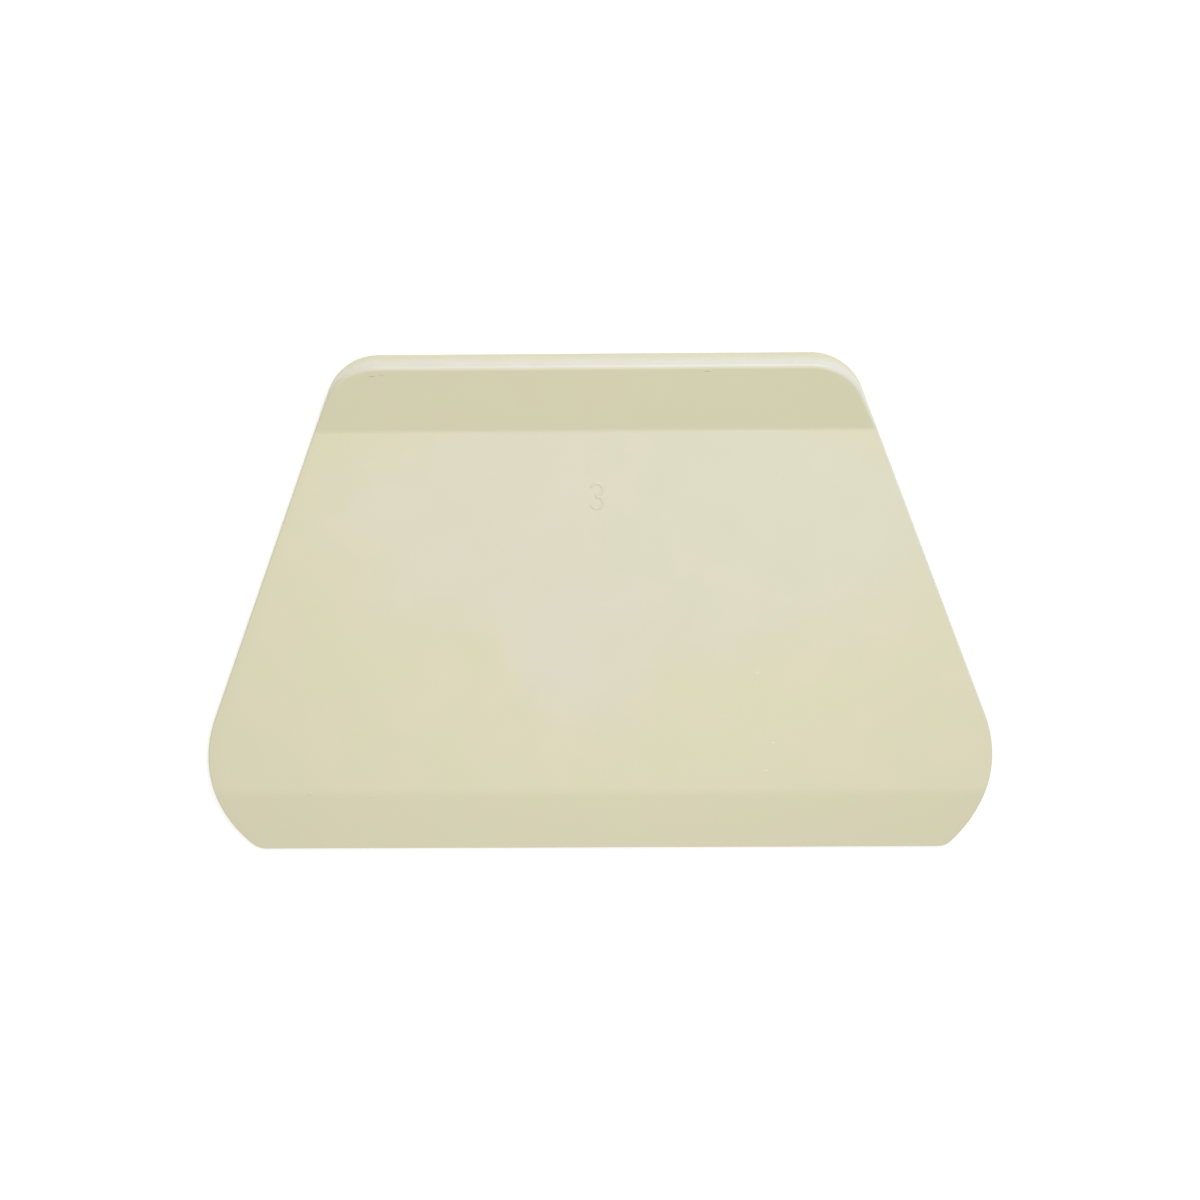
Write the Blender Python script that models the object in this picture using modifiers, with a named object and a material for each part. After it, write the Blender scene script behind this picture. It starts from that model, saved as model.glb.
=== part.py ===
"""A moulded plastic dough scraper, lying on its flat back.

One plate of plastic: a thin scraping edge towards -Y, a flat blade panel, and a wedge-shaped grip
towards +Y. Seen from the front (from +Z) its outline is a trapezium that narrows towards the grip,
with large round corners beside the scraping edge and smaller ones at the grip.

Metres, +Z up. The origin is the middle of the outline's bounding box, on the flat back.
"""
import math

import bmesh
import bpy
from mathutils import Vector

MM = 0.001

# Outline, seen from the front
WIDTH = 150 * MM                      # at the widest place, through the corners beside the edge
LENGTH = 99 * MM                      # from the scraping edge to the end of the grip
SIDE_LEAN = math.radians(20.5)        # how far each side leans in towards the grip
GRIP_CORNER_RADIUS = 10.1 * MM
EDGE_CORNER_RADIUS = 24.4 * MM
EDGE_CORNER_END = math.radians(-46)   # where that arc gives way to the small one, below level
EDGE_TURN_RADIUS = 4 * MM             # the small arc from that corner into the scraping edge

# Thickness, measured from the flat back
EDGE_THICKNESS = 0.8 * MM
BLADE_THICKNESS = 2.2 * MM
GRIP_THICKNESS = 6.9 * MM             # at the end of the grip, before its edge is rounded
BEVEL_LENGTH = 12.3 * MM              # from the scraping edge to the blade panel
GRIP_LENGTH = 14.2 * MM               # from the blade panel to the end of the grip
BEVEL_CREASE_RADIUS = 8 * MM          # the round blend between bevel and panel
GRIP_CREASE_RADIUS = 2 * MM           # the hollow blend between panel and grip

# Walls and edges, as they leave the mould
DRAFT = math.radians(2)               # the walls lean in from the back to the front
FRONT_ROUNDING = 0.8 * MM             # radius of the edge all round the front
BACK_ROUNDING = 0.25 * MM             # radius of the edge all round the back
ROUNDING_SHARE = 0.12                 # the most of the wall's height that a rounding takes

# Raised mould number on the panel
NUMBER = "3"
NUMBER_SIZE = 7 * MM                  # size of the type; the digit is about 5 mm high
NUMBER_RELIEF = 0.12 * MM
NUMBER_FROM_GRIP = 12.7 * MM          # from the grip's crease to the middle of the digit
NUMBER_ROOT = 0.3 * MM                # how deep the digit's foot is sunk into the panel

# Fineness of the arcs
EDGE_TURN_STEPS = 4
EDGE_CORNER_LOWER_STEPS = 8
EDGE_CORNER_UPPER_STEPS = 4
GRIP_CORNER_STEPS = 9
CREASE_STEPS = 3
ROUNDING_STEPS = 3
NUMBER_STEPS = 4

CUTTER_MARGIN = 10 * MM               # how far a cutter stands out past what it cuts
WELD = 0.001 * MM

PLASTIC_COLOUR = (0.70, 0.66, 0.51, 1.0)
PLASTIC_ROUGHNESS = 0.4

EDGE_Y = -LENGTH / 2
GRIP_Y = LENGTH / 2
BEVEL_CREASE_Y = EDGE_Y + BEVEL_LENGTH
GRIP_CREASE_Y = GRIP_Y - GRIP_LENGTH
BEVEL_SLOPE = math.atan2(BLADE_THICKNESS - EDGE_THICKNESS, BEVEL_LENGTH)
GRIP_SLOPE = math.atan2(GRIP_THICKNESS - BLADE_THICKNESS, GRIP_LENGTH)


def clear_scene():
    for old in list(bpy.data.objects):
        bpy.data.objects.remove(old, do_unlink=True)


def new_collection(name):
    collection = bpy.data.collections.new(name)
    bpy.context.scene.collection.children.link(collection)
    return collection


def heading(angle):
    return Vector((math.cos(angle), math.sin(angle)))


def arc(centre, radius, start, end, steps):
    """Points of an arc, both ends included."""
    angles = [start + (end - start) * i / steps for i in range(steps + 1)]
    return [centre + radius * heading(a) for a in angles]


def blend(corner, before, after, radius, steps):
    """Points of the arc that rounds a line's corner, between its headings before and after."""
    side = math.copysign(1, after - before)
    reach = radius * math.tan(abs(after - before) / 2)
    square = side * math.pi / 2
    centre = corner - reach * heading(before) + radius * heading(before + square)
    return arc(centre, radius, before - square, after - square, steps)


def outline(inset):
    """The plate's outline drawn in by inset all round, anticlockwise from the scraping edge."""
    # The small arc lies inside the large one, touching it and the scraping edge
    turn_offset = (EDGE_CORNER_RADIUS - EDGE_TURN_RADIUS) * heading(EDGE_CORNER_END)
    corner = Vector((WIDTH / 2 - EDGE_CORNER_RADIUS, EDGE_Y + EDGE_TURN_RADIUS - turn_offset.y))
    turn = corner + turn_offset

    # The straight side touches the large arc and the grip's arc
    side = heading(SIDE_LEAN)
    grip_y = GRIP_Y - GRIP_CORNER_RADIUS
    side_reach = side.dot(corner) + EDGE_CORNER_RADIUS - GRIP_CORNER_RADIUS
    grip = Vector(((side_reach - side.y * grip_y) / side.x, grip_y))

    corner_radius = EDGE_CORNER_RADIUS - inset
    half = arc(turn, EDGE_TURN_RADIUS - inset, -math.pi / 2, EDGE_CORNER_END, EDGE_TURN_STEPS)
    half += arc(corner, corner_radius, EDGE_CORNER_END, 0, EDGE_CORNER_LOWER_STEPS)[1:]
    half += arc(corner, corner_radius, 0, SIDE_LEAN, EDGE_CORNER_UPPER_STEPS)[1:]
    half += arc(grip, GRIP_CORNER_RADIUS - inset, SIDE_LEAN, math.pi / 2, GRIP_CORNER_STEPS)
    return half + [Vector((-p.x, p.y)) for p in reversed(half)]


def thickness_at(y):
    """Height of the front over the flat back, leaving out the creases' blends."""
    bevel = BLADE_THICKNESS - (BEVEL_CREASE_Y - y) * math.tan(BEVEL_SLOPE)
    grip = BLADE_THICKNESS + (y - GRIP_CREASE_Y) * math.tan(GRIP_SLOPE)
    return max(min(bevel, BLADE_THICKNESS), grip)


def mesh_copy(source, name, collection):
    """A new object holding a curve's or a modified object's evaluated mesh; the source goes."""
    evaluated = source.evaluated_get(bpy.context.evaluated_depsgraph_get())
    mesh = bpy.data.meshes.new_from_object(evaluated)
    bm = bmesh.new()
    bm.from_mesh(mesh)
    bmesh.ops.remove_doubles(bm, verts=bm.verts, dist=WELD)
    bm.to_mesh(mesh)
    bm.free()
    copy = bpy.data.objects.new(name, mesh)
    copy.matrix_world = source.matrix_world
    collection.objects.link(copy)
    bpy.data.objects.remove(source, do_unlink=True)
    return copy


def make_cutter(body):
    body.hide_render = True
    body.display_type = "WIRE"


def front_profile(cutters):
    """A bar with the plate's side profile on top, which runs past the plate on every other side."""
    end = LENGTH / 2 + CUTTER_MARGIN
    points = [Vector((-end, thickness_at(-end)))]
    points += blend(Vector((BEVEL_CREASE_Y, BLADE_THICKNESS)), BEVEL_SLOPE, 0,
                    BEVEL_CREASE_RADIUS, CREASE_STEPS)
    points += blend(Vector((GRIP_CREASE_Y, BLADE_THICKNESS)), 0, GRIP_SLOPE,
                    GRIP_CREASE_RADIUS, CREASE_STEPS)
    points += [Vector((end, thickness_at(end))),
               Vector((end, -CUTTER_MARGIN)),
               Vector((-end, -CUTTER_MARGIN))]

    curve = bpy.data.curves.new("front_profile", "CURVE")
    curve.dimensions = "2D"
    curve.fill_mode = "BOTH"
    curve.extrude = WIDTH / 2 + CUTTER_MARGIN
    spline = curve.splines.new("POLY")
    spline.points.add(len(points) - 1)
    for point, place in zip(spline.points, points):
        point.co = (place.x, place.y, 0, 1)
    spline.use_cyclic_u = True

    drawn = bpy.data.objects.new("front_profile_curve", curve)
    drawn.rotation_euler = (math.pi / 2, 0, math.pi / 2)
    cutters.objects.link(drawn)
    bar = mesh_copy(drawn, "front_profile", cutters)
    make_cutter(bar)
    return bar


def mould_number(cutters):
    """The raised digit, standing on the panel with its foot sunk into it."""
    curve = bpy.data.curves.new("mould_number", "FONT")
    curve.body = NUMBER
    curve.size = NUMBER_SIZE
    curve.align_x = "CENTER"
    curve.align_y = "CENTER"
    curve.resolution_u = NUMBER_STEPS
    curve.extrude = (NUMBER_RELIEF + NUMBER_ROOT) / 2

    drawn = bpy.data.objects.new("mould_number_type", curve)
    middle = BLADE_THICKNESS + (NUMBER_RELIEF - NUMBER_ROOT) / 2
    drawn.location = (0, GRIP_CREASE_Y - NUMBER_FROM_GRIP, middle)
    cutters.objects.link(drawn)
    digit = mesh_copy(drawn, "mould_number", cutters)
    make_cutter(digit)
    return digit


def drafted_blank(parts):
    """The outline lofted upwards past the grip's height, drawn in by the mould's draft."""
    height = GRIP_THICKNESS + CUTTER_MARGIN
    bm = bmesh.new()
    lower = [bm.verts.new((p.x, p.y, 0)) for p in outline(0)]
    upper = [bm.verts.new((p.x, p.y, height)) for p in outline(height * math.tan(DRAFT))]
    bm.faces.new(reversed(lower))
    bm.faces.new(upper)
    for i in range(len(lower)):
        bm.faces.new((lower[i - 1], lower[i], upper[i], upper[i - 1]))
    mesh = bpy.data.meshes.new("blank")
    bm.to_mesh(mesh)
    bm.free()
    blank = bpy.data.objects.new("blank", mesh)
    parts.objects.link(blank)
    return blank


def add_boolean(body, cutter, operation):
    modifier = body.modifiers.new(cutter.name, "BOOLEAN")
    modifier.operation = operation
    modifier.object = cutter


def round_edges(body):
    """Bevel the plate's front and back edges, by less where the plate is thin."""
    bm = bmesh.new()
    bm.from_mesh(body.data)
    weight = bm.edges.layers.float.new("bevel_weight_edge")
    for edge in bm.edges:
        heights = sorted(abs(face.normal.z) for face in edge.link_faces)
        if heights[0] > 0.5 or heights[1] < 0.5:
            continue
        is_back = min(face.normal.z for face in edge.link_faces) < -0.5
        middle = (edge.verts[0].co + edge.verts[1].co) / 2
        wanted = BACK_ROUNDING if is_back else FRONT_ROUNDING
        allowed = ROUNDING_SHARE * thickness_at(middle.y)
        edge[weight] = min(wanted, allowed) / FRONT_ROUNDING
    bm.to_mesh(body.data)
    bm.free()

    modifier = body.modifiers.new("rounded_edges", "BEVEL")
    modifier.limit_method = "WEIGHT"
    modifier.width = FRONT_ROUNDING
    modifier.segments = ROUNDING_STEPS
    modifier.use_clamp_overlap = False


def plastic():
    material = bpy.data.materials.new("cream_plastic")
    material.use_nodes = True
    shader = material.node_tree.nodes["Principled BSDF"]
    shader.inputs["Base Color"].default_value = PLASTIC_COLOUR
    shader.inputs["Roughness"].default_value = PLASTIC_ROUGHNESS
    shader.inputs["Metallic"].default_value = 0.0
    return material


def scraper_body(parts, cutters):
    blank = drafted_blank(parts)
    add_boolean(blank, front_profile(cutters), "INTERSECT")
    body = mesh_copy(blank, "scraper_body", parts)
    round_edges(body)
    add_boolean(body, mould_number(cutters), "UNION")
    body.data.shade_smooth()
    body.modifiers.new("flat_faces_stay_flat", "WEIGHTED_NORMAL").keep_sharp = True
    body.data.materials.clear()
    body.data.materials.append(plastic())
    return body


clear_scene()
scraper_body(new_collection("dough_scraper"), new_collection("cutters"))
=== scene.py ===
"""The dough scraper's looks: a fine mesh of the one moulded plate, its plastic, and a plain studio.

Metres, in the CAD model's frame: the plate lies on its flat back, the scraping edge is towards -Y,
the wedge-shaped grip is towards +Y, and +Z leaves the front.
"""

import math

import bmesh
import bpy
from mathutils import Matrix, Vector, noise


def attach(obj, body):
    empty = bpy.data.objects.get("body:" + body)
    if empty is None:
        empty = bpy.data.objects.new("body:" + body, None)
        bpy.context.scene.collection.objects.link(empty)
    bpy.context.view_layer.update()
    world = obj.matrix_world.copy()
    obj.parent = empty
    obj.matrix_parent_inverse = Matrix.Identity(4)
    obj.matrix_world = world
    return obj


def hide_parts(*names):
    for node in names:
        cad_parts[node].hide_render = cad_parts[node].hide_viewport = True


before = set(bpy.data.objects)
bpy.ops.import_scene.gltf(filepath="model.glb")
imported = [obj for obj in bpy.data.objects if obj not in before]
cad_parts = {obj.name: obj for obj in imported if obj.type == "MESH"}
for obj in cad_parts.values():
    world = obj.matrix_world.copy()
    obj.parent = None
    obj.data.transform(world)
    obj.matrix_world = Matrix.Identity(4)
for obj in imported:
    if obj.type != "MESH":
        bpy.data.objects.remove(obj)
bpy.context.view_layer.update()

MM = 0.001

# Outline and thickness, as in the CAD model
WIDTH = 150 * MM
LENGTH = 99 * MM
SIDE_LEAN = math.radians(20.5)
GRIP_CORNER_RADIUS = 10.1 * MM
EDGE_CORNER_RADIUS = 24.4 * MM
EDGE_CORNER_END = math.radians(-46)
EDGE_TURN_RADIUS = 4 * MM
EDGE_THICKNESS = 0.8 * MM
BLADE_THICKNESS = 2.2 * MM
GRIP_THICKNESS = 6.9 * MM
BEVEL_LENGTH = 12.3 * MM
GRIP_LENGTH = 14.2 * MM
DRAFT = math.radians(2)
FRONT_ROUNDING = 0.8 * MM
BACK_ROUNDING = 0.25 * MM
ROUNDING_SHARE = 0.12

EDGE_Y = -LENGTH / 2
GRIP_Y = LENGTH / 2
BEVEL_CREASE_Y = EDGE_Y + BEVEL_LENGTH
GRIP_CREASE_Y = GRIP_Y - GRIP_LENGTH
BEVEL_SLOPE = (BLADE_THICKNESS - EDGE_THICKNESS) / BEVEL_LENGTH
GRIP_SLOPE = (GRIP_THICKNESS - BLADE_THICKNESS) / GRIP_LENGTH

# Half the length over which each crease turns from one slope to the next
BEVEL_CREASE_REACH = 0.5 * MM
GRIP_CREASE_REACH = 0.42 * MM

# The moulded face is never quite flat
WAVE_HEIGHT = 0.02 * MM
WAVE_LENGTH = 26 * MM

# Raised mould number: a digit of two rings, one over the other and both open on the left
DIGIT_MIDDLE = Vector((0.2 * MM, 22.6 * MM))
DIGIT_RING_RADIUS = 1.15 * MM
DIGIT_RING_STEP = 1.3 * MM              # from the digit's middle to each ring's
DIGIT_OPEN_FROM = math.radians(150)     # where each ring's outer tip is
DIGIT_WAIST = -math.pi / 2 - 0.2        # where each ring ends beside the digit's middle
DIGIT_STROKE = 0.26 * MM
DIGIT_SHOULDER = 0.16 * MM
DIGIT_RELIEF = 0.12 * MM

# The scraping edge is worn inwards a little, more in some places than in others
EDGE_WEAR = 0.06 * MM
EDGE_WEAR_LENGTH = 3 * MM
EDGE_WEAR_SEED = 7
STRAIGHT_EDGE = -0.999                  # outward normals with less y than this belong to it

# Its right corner is worn in too: how far, and over which headings of the outward normal
CORNER_WEAR = 0.31 * MM
CORNER_WEAR_FROM = math.radians(-55)
CORNER_WEAR_MOST = math.radians(-27)
CORNER_WEAR_TO = math.radians(12)

# Painted highlight on the wall at the grip's end and its front rounding, paler from low to high on
# it. It is turned a little to the right, towards the key lamp, and along the wall it grows from the
# least at the left to the full
HIGHLIGHT_LOW = 0.1
HIGHLIGHT_HIGH = 0.95
HIGHLIGHT_LEAN = 0.35
HIGHLIGHT_LEAST = 0.68
HIGHLIGHT_FROM = -60 * MM
HIGHLIGHT_TO = 30 * MM

# Fineness of the mesh
ARC_STEP = math.radians(2)
TURN_STEP = math.radians(6)
PANEL_ROW = 1.0 * MM
CREASE_ROW = 0.12 * MM
DIGIT_ROW = 0.1 * MM
PANEL_COLUMN = 1.6 * MM
DIGIT_COLUMN = 0.1 * MM
SPACING_GROWTH = 0.25
FRONT_ROUNDING_STEPS = 8
BACK_ROUNDING_STEPS = 4
WALL_STEPS = 6
BACK_BORDER = 1.5 * MM


def smooth_step(value, low, high):
    share = min(1, max(0, (value - low) / (high - low)))
    return share * share * (3 - 2 * share)


def turned_slope(distance, before, after, reach):
    """Height along a line that bends softly at 0 from one slope to another."""
    if distance <= -reach:
        return before * distance
    if distance >= reach:
        return after * distance
    return before * distance + (after - before) * (distance + reach) ** 2 / (4 * reach)


def profile_height(y):
    """Height of the front over the back along the plate's length."""
    if y < (BEVEL_CREASE_Y + GRIP_CREASE_Y) / 2:
        rise = turned_slope(y - BEVEL_CREASE_Y, BEVEL_SLOPE, 0, BEVEL_CREASE_REACH)
    else:
        rise = turned_slope(y - GRIP_CREASE_Y, 0, GRIP_SLOPE, GRIP_CREASE_REACH)
    return BLADE_THICKNESS + rise


def wave_height(x, y):
    return noise.noise(Vector((x, y, 0)) / WAVE_LENGTH) * WAVE_HEIGHT


def heading(angle):
    return Vector((math.cos(angle), math.sin(angle)))


def digit_distance(x, y):
    """Distance from the middle of the digit's stroke. Its lower half mirrors the upper one."""
    place = Vector((x, y)) - DIGIT_MIDDLE
    ray = Vector((place.x, abs(place.y) - DIGIT_RING_STEP))
    angle = math.atan2(ray.y, ray.x)
    if DIGIT_WAIST <= angle <= DIGIT_OPEN_FROM:
        return abs(ray.length - DIGIT_RING_RADIUS)
    return (ray - DIGIT_RING_RADIUS * heading(DIGIT_OPEN_FROM)).length


def digit_relief(x, y):
    distance = digit_distance(x, y)
    half = DIGIT_STROKE / 2
    return DIGIT_RELIEF * (1 - smooth_step(distance, half, half + DIGIT_SHOULDER))


def front_height(x, y):
    return profile_height(y) + wave_height(x, y) + digit_relief(x, y)


def blend(corner, before, after, radius, steps):
    """Points of the arc that rounds a line's corner, between its headings before and after."""
    side = math.copysign(1, after - before)
    reach = radius * math.tan(abs(after - before) / 2)
    square = side * math.pi / 2
    centre = corner - reach * heading(before) + radius * heading(before + square)
    turns = [before - square + (after - before) * i / steps for i in range(steps + 1)]
    return [centre + radius * heading(turn) for turn in turns]


def arc_stations(centre, radius, start, end, step):
    """Points and outward normals round an arc of the outline."""
    count = math.ceil(abs(end - start) / step)
    angles = [start + (end - start) * i / count for i in range(count + 1)]
    return [(centre + radius * heading(angle), heading(angle)) for angle in angles]


def side_stations():
    """Points and outward normals up the right side, from the scraping edge to the grip's end."""
    turn_offset = (EDGE_CORNER_RADIUS - EDGE_TURN_RADIUS) * heading(EDGE_CORNER_END)
    corner = Vector((WIDTH / 2 - EDGE_CORNER_RADIUS, EDGE_Y + EDGE_TURN_RADIUS - turn_offset.y))
    turn = corner + turn_offset
    side = heading(SIDE_LEAN)
    grip_y = GRIP_Y - GRIP_CORNER_RADIUS
    side_reach = side.dot(corner) + EDGE_CORNER_RADIUS - GRIP_CORNER_RADIUS
    grip = Vector(((side_reach - side.y * grip_y) / side.x, grip_y))

    stations = arc_stations(turn, EDGE_TURN_RADIUS, -math.pi / 2, EDGE_CORNER_END, TURN_STEP)
    stations += arc_stations(corner, EDGE_CORNER_RADIUS, EDGE_CORNER_END, SIDE_LEAN, ARC_STEP)[1:]
    grip_arc = arc_stations(grip, GRIP_CORNER_RADIUS, SIDE_LEAN, math.pi / 2, ARC_STEP)

    # Rows up the straight side lie closer at the digit and at the grip's crease
    low = stations[-1][0]
    high = grip_arc[0][0]
    y = low.y + row_spacing(low.y)
    while y <= high.y - CREASE_ROW:
        share = (y - low.y) / (high.y - low.y)
        stations.append((low.lerp(high, share), side))
        y += row_spacing(y)
    return stations + grip_arc


def row_spacing(y):
    past_crease = max(0, abs(y - GRIP_CREASE_Y) - 2 * GRIP_CREASE_REACH)
    digit_reach = DIGIT_RING_STEP + DIGIT_RING_RADIUS + DIGIT_STROKE
    past_digit = max(0, abs(y - DIGIT_MIDDLE.y) - digit_reach)
    return min(PANEL_ROW, CREASE_ROW + past_crease * SPACING_GROWTH,
               DIGIT_ROW + past_digit * SPACING_GROWTH)


def column_shares():
    """Shares of the half width at which the mesh has its columns, close together at the digit."""
    half_width = WIDTH / 2 - (DIGIT_MIDDLE.y + LENGTH / 4) * math.tan(SIDE_LEAN)
    fine_reach = DIGIT_RING_RADIUS + DIGIT_STROKE + DIGIT_SHOULDER + DIGIT_MIDDLE.x
    places = [0]
    step = DIGIT_COLUMN
    while places[-1] < half_width:
        if places[-1] > fine_reach:
            step = min(step * (1 + SPACING_GROWTH), PANEL_COLUMN)
        places.append(places[-1] + step)
    shares = [place / places[-1] for place in places]
    return [-share for share in reversed(shares[1:])] + shares


def edge_section(station):
    """The plate's cross-section at a station, from the front round to the back.

    Points are (distance out from the outline, height).
    """
    place, normal = station
    wall = profile_height(place.y)
    radius = min(FRONT_ROUNDING, ROUNDING_SHARE * wall)
    inside = profile_height(place.y - normal.y * radius)
    slope = (wall - inside) / radius
    down = DRAFT - math.pi / 2
    corner_z = wall / (1 + slope * math.tan(DRAFT))
    corner = Vector((-corner_z * math.tan(DRAFT), corner_z))
    front = blend(corner, math.atan(slope), down, radius, FRONT_ROUNDING_STEPS)
    back = blend(Vector((0, 0)), down, -math.pi, BACK_ROUNDING, BACK_ROUNDING_STEPS)
    between = [front[-1].lerp(back[0], i / WALL_STEPS) for i in range(1, WALL_STEPS)]
    return front + between + back + [Vector((-BACK_BORDER, 0))]


def edge_wear(x, out):
    """How far the straight scraping edge is worn in, fading out towards the flat of the back."""
    worn = noise.noise(Vector((x / EDGE_WEAR_LENGTH, 0, EDGE_WEAR_SEED))) ** 2
    return EDGE_WEAR * worn * smooth_step(out, -BACK_BORDER, 0)


def section_ring(station):
    """The section's points in space. The front's waves fade out down the wall."""
    place, normal = station
    points = []
    section = edge_section(station)
    for out, height in section:
        spot = place + normal * out
        if normal.y < STRAIGHT_EDGE:
            spot.y += edge_wear(spot.x, out)
        wave = wave_height(spot.x, spot.y)
        points.append(Vector((spot.x, spot.y, height + wave * height / section[0].y)))
    return points


def painted_highlight_share(station, height, top):
    """How much painted highlight falls on a point of the wall or its front rounding."""
    place, normal = station
    share = smooth_step(height, HIGHLIGHT_LOW * top, HIGHLIGHT_HIGH * top)
    share *= HIGHLIGHT_LEAST + (1 - HIGHLIGHT_LEAST) * smooth_step(place.x, HIGHLIGHT_FROM, HIGHLIGHT_TO)
    return share * smooth_step(normal.y + HIGHLIGHT_LEAN * normal.x, 0, 1)


def worn_corner(station):
    """A station of the right side, moved in by its corner's wear."""
    place, normal = station
    angle = math.atan2(normal.y, normal.x)
    share = smooth_step(angle, CORNER_WEAR_FROM, CORNER_WEAR_MOST)
    share *= 1 - smooth_step(angle, CORNER_WEAR_MOST, CORNER_WEAR_TO)
    return place - normal * CORNER_WEAR * share, normal


def mirrored(station):
    return tuple(Vector((-vector.x, vector.y)) for vector in station)


def moved_across(station, share):
    """A station of the front or the rear end, moved to a share of its distance from the middle."""
    place, normal = station
    return Vector((place.x * share, place.y)), normal


def border_stations(right, shares):
    """Stations all round, anticlockwise, each with the row and column of the grid it starts from."""
    last_row = len(right) - 1
    last_column = len(shares) - 1
    border = [((0, i), moved_across(right[0], shares[i])) for i in range(last_column + 1)]
    border += [((j, last_column), worn_corner(right[j])) for j in range(1, last_row + 1)]
    border += [((last_row, i), moved_across(right[-1], shares[i]))
               for i in range(last_column - 1, -1, -1)]
    border += [((j, 0), mirrored(right[j])) for j in range(last_row - 1, 0, -1)]
    return border


def scraper_mesh():
    """The front is a grid, and rings of the section join its border to one flat face at the back."""
    right = side_stations()
    shares = column_shares()
    last_row = len(right) - 1
    last_column = len(shares) - 1
    bm = bmesh.new()

    # Each vertex's share of the painted highlight, read by the material
    painted_highlight = bm.verts.layers.float.new("painted_highlight")
    rings = []
    grid = {}
    for spot, station in border_stations(right, shares):
        ring = [bm.verts.new(point) for point in section_ring(station)]
        for k, vertex in enumerate(ring):
            onset = smooth_step(k, 0, FRONT_ROUNDING_STEPS / 2)
            vertex[painted_highlight] = onset * painted_highlight_share(station, vertex.co.z, ring[0].co.z)
        grid[spot] = ring[0]
        rings.append(ring)

    for j in range(1, last_row):
        left = grid[(j, 0)].co
        for i in range(1, last_column):
            x = -left.x * shares[i]
            grid[(j, i)] = bm.verts.new((x, left.y, front_height(x, left.y)))

    for j in range(last_row):
        for i in range(last_column):
            corners = (j, i), (j, i + 1), (j + 1, i + 1), (j + 1, i)
            bm.faces.new([grid[corner] for corner in corners])
    for this, after in zip(rings, rings[1:] + rings[:1]):
        for k in range(len(this) - 1):
            bm.faces.new((this[k], this[k + 1], after[k + 1], after[k]))
    bm.faces.new([ring[-1] for ring in reversed(rings)])

    mesh = bpy.data.meshes.new("scraper")
    bm.to_mesh(mesh)
    bm.free()
    mesh.shade_smooth()
    return mesh


# Colours are scene-linear
PLASTIC_COLOUR = (0.702, 0.669, 0.464, 1)
# Paler cream for patches on the panel, partly painted sheen
PLASTIC_PALE_SHEEN = (0.704, 0.672, 0.516, 1)
# Painted highlight colour for the wall at the grip's end
PLASTIC_HIGHLIGHT = (0.754, 0.747, 0.696, 1)
PLASTIC_IOR = 1.49

# Satin, from its glossiest to its dullest. It stays over 0.28, because a roughness that crosses
# that level comes out of Cycles' denoiser with specks
ROUGHNESS_LEAST = 0.295
ROUGHNESS_MOST = 0.385

# Most of a noise texture's values lie between these
NOISE_LOW = 0.3
NOISE_HIGH = 0.7
NOISE_DETAIL = 3

# Paler, bluer patches on the panel, partly the plastic's own tone and partly painted sheen of the
# overhead lamp's reflection: middles and half widths of soft patches, the noise that makes them
# ragged, and the share of a patch at which the paleness sets in and is full
PALE_SHEEN_PATCHES = (
    ((10 * MM, 17 * MM, 0), (77 * MM, 35 * MM, 0.1)),
    ((-3 * MM, 0, 0), (22 * MM, 31 * MM, 0.1)),
)
PALE_CLOUDS = 60
PALE_CLOUD_STRETCH = (1, 1.4, 1)
PALE_RAGGEDNESS = 0.35
PALE_FROM = 0.05
PALE_TO = 0.5
PALE_FADE = 1 * MM                      # on each side of the grip's crease, where it ends

# The painted highlight at the grip's end is uneven
HIGHLIGHT_CLOUDS = 160
HIGHLIGHT_CLOUD_STRETCH = (1, 3, 3)
HIGHLIGHT_THINNEST = 0.7

# The plastic leans a little towards pink in some places and towards green in others, in blotches
# from 3 to 15 mm across: green over a broad patch, pink along the line where the melt flowed in
TINT_PINK = (1.010, 0.995, 1.002, 1)
TINT_GREEN = (0.989, 1.004, 0.997, 1)
BLOTCHES = 90
BLOTCH_LOW = 0.4
BLOTCH_HIGH = 0.6
GREEN_SHARE = 0.6
GREEN_PATCH = ((40 * MM, 26 * MM, 0), (50 * MM, 34 * MM, 0.1))
GREEN_LEAN = 1.8
FLOW_LINE = ((0.3 * MM, 21.5 * MM, BLADE_THICKNESS), (1.1 * MM, 15 * MM, 2 * MM))
FLOW_LEAN = -0.8

# Painted shade, darker towards the outer corners where the lamps' light falls off: distances from a
# middle, and the tone left there
FALLOFF_MIDDLE = (0, 10 * MM, 0)
FALLOFF_FROM = 45 * MM
FALLOFF_TO = 85 * MM
FALLOFF_TONE = 0.965

# Small marks on the front: middle, half widths and height of the relief in millimetres, and how
# much paler they are: a negative share is painted shade in the nicks, a positive one painted
# highlight on the specks. Three nicks at the grip's end, three pale specks, and three dots
MARKS = (
    ((-40.5, 47.1, 6.1), (0.85, 0.2, 2), -0.07, -0.3),
    ((-38.7, 47.3, 6.2), (0.7, 0.18, 2), -0.04, -0.2),
    ((20.8, 47.9, 6.4), (0.8, 0.22, 2), 0.12, -0.12),
    ((30.1, -12.8, 2.2), (0.5, 0.5, 2), 0.03, 0.1),
    ((33.2, -27.0, 2.2), (0.5, 0.35, 2), -0.05, 0.2),
    ((31.8, -32.7, 2.2), (0.6, 0.35, 2), -0.05, 0.16),
    ((-55.7, -37.4, 2.2), (0.5, 0.4, 2), 0.07, 0),
    ((-44.0, -38.1, 2.1), (0.35, 0.35, 2), 0.06, 0),
    ((33.6, 26.8, 2.2), (0.3, 0.4, 2), 0.05, 0.03),
)

# The gloss varies in soft clouds, and the mould has left a fine grain
SATIN_CLOUDS = 90
SATIN_DETAIL = 4
SATIN_ROUGHNESS = 0.6
GRAIN = 2600
GRAIN_HEIGHT = 0.04 * MM
GRAIN_STRENGTH = 0.25


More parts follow.
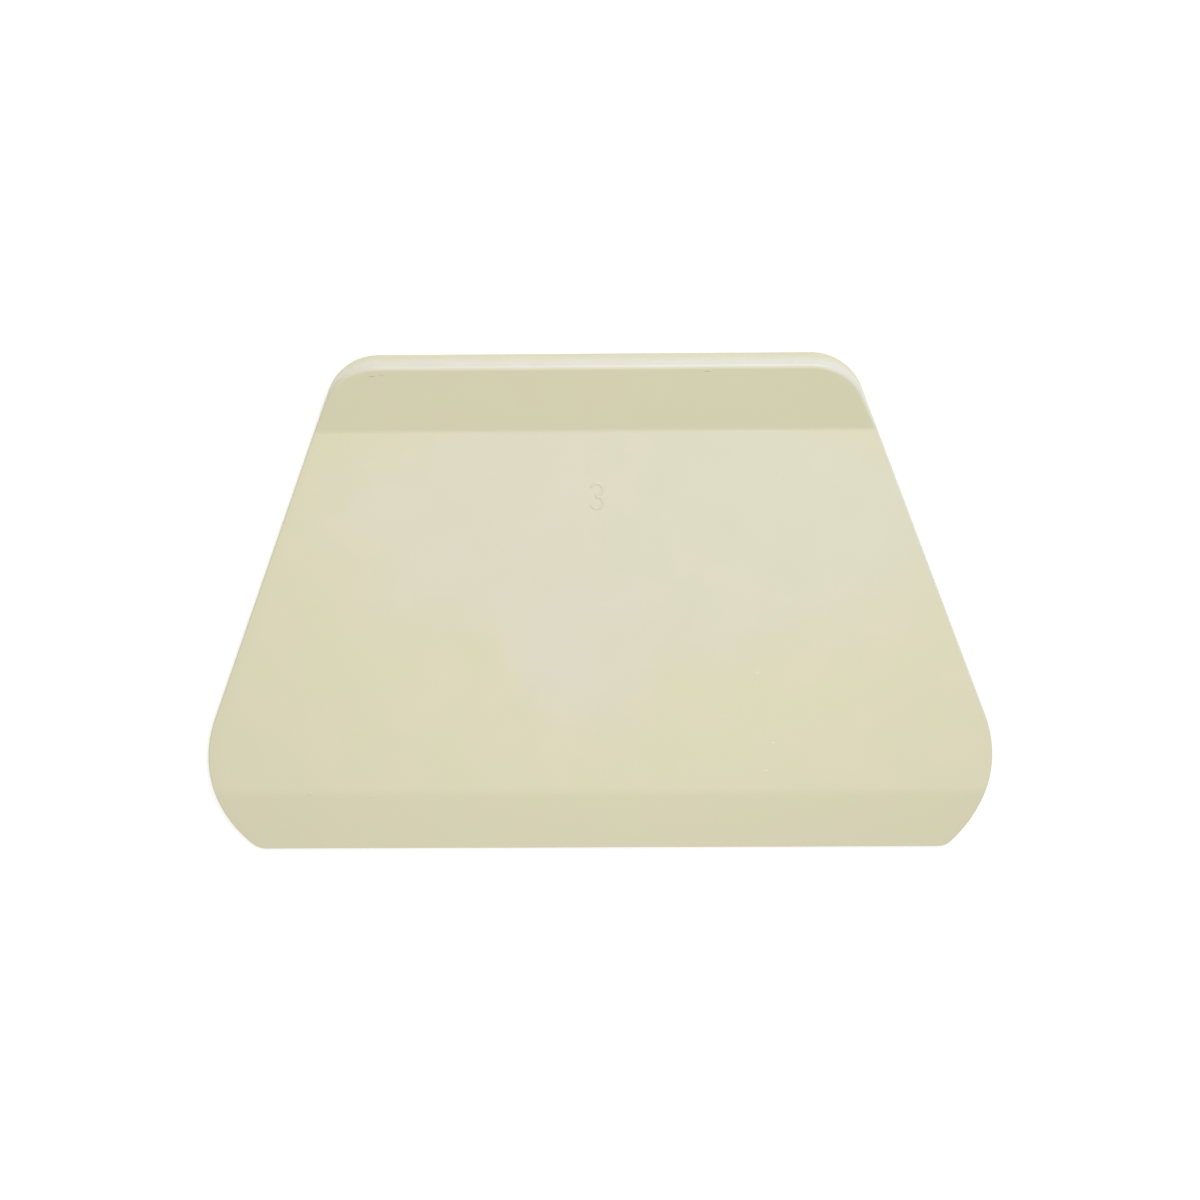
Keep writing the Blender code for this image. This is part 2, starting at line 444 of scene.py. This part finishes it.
class Nodes:
    """Adds and wires a material's or a world's shader nodes in a few words."""

    def __init__(self, owner):
        self.tree = owner.node_tree

    def put(self, value, socket):
        """Gives a socket a plain value, or links another one to it."""
        if isinstance(value, bpy.types.NodeSocket):
            self.tree.links.new(value, socket)
        else:
            socket.default_value = value

    def add(self, kind, inputs=(), **settings):
        node = self.tree.nodes.new(kind)
        for name, value in settings.items():
            setattr(node, name, value)
        for name, value in dict(inputs).items():
            self.put(value, node.inputs[name])
        return node

    def math(self, operation, *values):
        return self.add("ShaderNodeMath", enumerate(values), operation=operation).outputs[0]

    def spread(self, value, low, high, to_low=0.0, to_high=1.0, interpolation="LINEAR"):
        """Maps one range of values to another, and holds it at the ends."""
        return self.add("ShaderNodeMapRange", {
            "Value": value, "From Min": low, "From Max": high, "To Min": to_low, "To Max": to_high,
        }, interpolation_type=interpolation).outputs[0]

    def mix(self, share, first, second, blend_type="MIX"):
        return self.add("ShaderNodeMix", {"Factor": share, "A": first, "B": second},
                        data_type="RGBA", blend_type=blend_type).outputs["Result"]

    def noise(self, place, scale, detail=NOISE_DETAIL, roughness=0.5):
        return self.add("ShaderNodeTexNoise", {
            "Vector": place, "Scale": scale, "Detail": detail, "Roughness": roughness,
        }).outputs["Fac"]

    def stretched(self, place, factors):
        return self.add("ShaderNodeMapping", {"Vector": place, "Scale": factors}).outputs[0]

    def dome(self, place, middle, reach):
        """1 at the middle, falling evenly to 0 at the reach, which differs by axis."""
        patch = self.add("ShaderNodeMapping", {"Vector": place, "Location": middle, "Scale": reach},
                         vector_type="TEXTURE").outputs[0]
        fall = self.add("ShaderNodeTexGradient", {"Vector": patch}, gradient_type="SPHERICAL")
        return fall.outputs["Fac"]

    def open_rays(self):
        """1 for the rays that show the white studio directly, in gloss or through glass."""
        rays = self.add("ShaderNodeLightPath").outputs
        seen = self.math("MAXIMUM", rays["Is Camera Ray"], rays["Is Glossy Ray"])
        return self.math("MAXIMUM", seen, rays["Is Transmission Ray"])


def cream_colour(nodes, place):
    """Cream, with soft ragged patches a few centimetres across that are a little paler: partly the
    plastic's own tone, partly painted sheen.
    """
    pale = 0.0
    for middle, reach in PALE_SHEEN_PATCHES:
        pale = nodes.math("MAXIMUM", nodes.dome(place, middle, reach), pale)
    clouds = nodes.noise(nodes.stretched(place, PALE_CLOUD_STRETCH), PALE_CLOUDS)
    ragged = nodes.math("MULTIPLY_ADD", clouds, PALE_RAGGEDNESS, -PALE_RAGGEDNESS / 2)
    pale = nodes.spread(nodes.math("ADD", pale, ragged), PALE_FROM, PALE_TO,
                        interpolation="SMOOTHSTEP")
    y = nodes.add("ShaderNodeSeparateXYZ", {"Vector": place}).outputs["Y"]
    below_grip = nodes.spread(y, GRIP_CREASE_Y + PALE_FADE, GRIP_CREASE_Y - PALE_FADE)
    return nodes.mix(nodes.math("MULTIPLY", pale, below_grip), PLASTIC_COLOUR, PLASTIC_PALE_SHEEN)


def painted_highlight_colour(nodes, place, colour):
    """Paler where the mesh's attribute calls for painted highlight."""
    clouds = nodes.noise(nodes.stretched(place, HIGHLIGHT_CLOUD_STRETCH), HIGHLIGHT_CLOUDS)
    patchy = nodes.spread(clouds, NOISE_LOW, NOISE_HIGH, HIGHLIGHT_THINNEST, 1.0)
    painted_highlight = nodes.add("ShaderNodeAttribute", attribute_name="painted_highlight").outputs["Fac"]
    return nodes.mix(nodes.math("MULTIPLY", painted_highlight, patchy), colour, PLASTIC_HIGHLIGHT)


def tinted_colour(nodes, place, colour):
    lean = nodes.spread(nodes.noise(place, BLOTCHES), BLOTCH_LOW, BLOTCH_HIGH, 0.0, GREEN_SHARE,
                        interpolation="SMOOTHSTEP")
    lean = nodes.math("MULTIPLY_ADD", nodes.dome(place, *GREEN_PATCH), GREEN_LEAN, lean)
    lean = nodes.math("MULTIPLY_ADD", nodes.dome(place, *FLOW_LINE), FLOW_LEAN, lean)
    return nodes.mix(1, colour, nodes.mix(lean, TINT_PINK, TINT_GREEN), "MULTIPLY")


def marked_colour(nodes, place, colour):
    """The colour with painted shade towards the outer corners and the small marks with their painted
    shade and highlight, and the marks' relief.
    """
    # Painted shade: darker towards the outer corners
    outward = nodes.add("ShaderNodeVectorMath", {0: place, 1: FALLOFF_MIDDLE}, operation="DISTANCE")
    shade = nodes.spread(outward.outputs["Value"], FALLOFF_FROM, FALLOFF_TO, 1.0, FALLOFF_TONE)
    relief = 0.0
    # Each mark lowers or lifts the colour: painted shade in the nicks, painted highlight on the
    # specks
    for middle, reach, height, paler in MARKS:
        mark = nodes.dome(place, [value * MM for value in middle], [value * MM for value in reach])
        relief = nodes.math("MULTIPLY_ADD", mark, height * MM, relief)
        shade = nodes.math("MULTIPLY_ADD", mark, paler, shade)
    marked = nodes.add("ShaderNodeVectorMath", {"Vector": colour, "Scale": shade}, operation="SCALE")
    return marked.outputs["Vector"], relief


def moulded_plastic():
    material = bpy.data.materials.new("cream_plastic")
    material.use_nodes = True
    nodes = Nodes(material)
    place = nodes.add("ShaderNodeTexCoord").outputs["Object"]

    colour = cream_colour(nodes, place)
    colour = painted_highlight_colour(nodes, place, colour)
    colour = tinted_colour(nodes, place, colour)
    colour, relief = marked_colour(nodes, place, colour)

    satin = nodes.noise(place, SATIN_CLOUDS, SATIN_DETAIL, SATIN_ROUGHNESS)
    roughness = nodes.spread(satin, NOISE_LOW, NOISE_HIGH, ROUGHNESS_LEAST, ROUGHNESS_MOST)
    dents = nodes.add("ShaderNodeBump", {"Height": relief, "Strength": 1, "Distance": 1})
    grain = nodes.add("ShaderNodeBump", {
        "Height": nodes.noise(place, GRAIN), "Strength": GRAIN_STRENGTH, "Distance": GRAIN_HEIGHT,
        "Normal": dents.outputs[0],
    })

    shader = material.node_tree.nodes["Principled BSDF"]
    nodes.put(colour, shader.inputs["Base Color"])
    nodes.put(roughness, shader.inputs["Roughness"])
    nodes.put(grain.outputs[0], shader.inputs["Normal"])
    nodes.put(PLASTIC_IOR, shader.inputs["IOR"])
    return material


def build_scraper():
    body = bpy.data.objects.new("scraper", scraper_mesh())
    bpy.context.scene.collection.objects.link(body)
    body.data.materials.append(moulded_plastic())
    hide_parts("scraper_body")
    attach(body, "root")


# Camera, found from the outline in the photograph
CAMERA_DISTANCE = 650 * MM
CAMERA_TILT = math.radians(20.36)     # off the vertical, towards the grip
CAMERA_SIDE = math.radians(1.444)     # and towards +X
CAMERA_ROLL = math.radians(-0.813)
CAMERA_LENS = 103.42
CAMERA_CLIP_START = 0.01
IMAGE_SIZE = 1200
MIDDLE_PIXEL = Vector((597.65, 606.11))   # where the outline's middle, on the back, is seen


def build_camera():
    towards = Vector((math.sin(CAMERA_SIDE) * math.cos(CAMERA_TILT), math.sin(CAMERA_TILT),
                      math.cos(CAMERA_TILT) * math.cos(CAMERA_SIDE))).normalized()
    up = Vector((0, 1, 0))
    up = (up - up.dot(towards) * towards).normalized()
    right = up.cross(towards)
    rolled_right = math.cos(CAMERA_ROLL) * right + math.sin(CAMERA_ROLL) * up
    rolled_up = math.cos(CAMERA_ROLL) * up - math.sin(CAMERA_ROLL) * right

    data = bpy.data.cameras.new("camera")
    data.lens = CAMERA_LENS
    data.shift_x = (IMAGE_SIZE / 2 - MIDDLE_PIXEL.x) / IMAGE_SIZE
    data.shift_y = (MIDDLE_PIXEL.y - IMAGE_SIZE / 2) / IMAGE_SIZE
    data.clip_start = CAMERA_CLIP_START
    camera = bpy.data.objects.new("camera", data)
    turn = Matrix((rolled_right, rolled_up, towards)).transposed().to_4x4()
    camera.matrix_world = Matrix.Translation(towards * CAMERA_DISTANCE) @ turn
    bpy.context.scene.collection.objects.link(camera)
    bpy.context.scene.camera = camera


# Studio: a white floor and world. The floor's lift is added for the rays that show it directly, so
# that open floor is white, and it grows further off, where less light falls on the floor
WHITE = (1, 1, 1, 1)
FLOOR_SIZE = 6
FLOOR_COLOUR = (0.86, 0.86, 0.86, 1)
FLOOR_ROUGHNESS = 0.9
FLOOR_LIFT = 0.33
FLOOR_FAR_LIFT = 0.6
FLOOR_NEAR = 0.3
FLOOR_FAR = 2.0
WORLD_LIGHT = 0.575

# Name, place, width and depth, and power in watts. Both look at the scraper's middle
LAMPS = (
    ("overhead", (0.12, -0.36, 1.06), (0.8, 0.5), 2.17),
    ("key", (0.18, 0.60, 0.57), (0.4, 0.4), 2.76),
)


def floor_white():
    material = bpy.data.materials.new("floor_white")
    material.use_nodes = True
    material.cycles.emission_sampling = "NONE"
    nodes = Nodes(material)
    place = nodes.add("ShaderNodeTexCoord").outputs["Object"]
    outward = nodes.add("ShaderNodeVectorMath", {0: place}, operation="LENGTH").outputs["Value"]
    lift = nodes.spread(outward, FLOOR_NEAR, FLOOR_FAR, FLOOR_LIFT, FLOOR_FAR_LIFT)
    lift = nodes.math("MULTIPLY", nodes.open_rays(), lift)

    shader = material.node_tree.nodes["Principled BSDF"]
    nodes.put(FLOOR_COLOUR, shader.inputs["Base Color"])
    nodes.put(FLOOR_ROUGHNESS, shader.inputs["Roughness"])
    nodes.put(0, shader.inputs["Specular IOR Level"])
    nodes.put(WHITE, shader.inputs["Emission Color"])
    nodes.put(lift, shader.inputs["Emission Strength"])
    return material


def build_floor():
    bm = bmesh.new()
    bmesh.ops.create_grid(bm, x_segments=1, y_segments=1, size=FLOOR_SIZE / 2)
    mesh = bpy.data.meshes.new("floor")
    bm.to_mesh(mesh)
    bm.free()
    mesh.materials.append(floor_white())
    floor = bpy.data.objects.new("floor", mesh)
    bpy.context.scene.collection.objects.link(floor)


def build_world():
    world = bpy.data.worlds.new("world")
    bpy.context.scene.world = world
    world.use_nodes = True
    nodes = Nodes(world)
    background = world.node_tree.nodes["Background"]
    nodes.put(WHITE, background.inputs["Color"])
    strength = nodes.spread(nodes.open_rays(), 0.0, 1.0, WORLD_LIGHT, 1.0)
    nodes.put(strength, background.inputs["Strength"])


def build_lamps():
    for name, place, size, power in LAMPS:
        data = bpy.data.lights.new(name, "AREA")
        data.shape = "RECTANGLE"
        data.size, data.size_y = size
        data.energy = power
        lamp = bpy.data.objects.new(name, data)
        lamp.location = place
        lamp.rotation_euler = (-Vector(place)).to_track_quat("-Z", "Y").to_euler()
        bpy.context.scene.collection.objects.link(lamp)


bpy.context.scene.view_settings.view_transform = "Standard"
build_scraper()
build_camera()
build_floor()
build_world()
build_lamps()
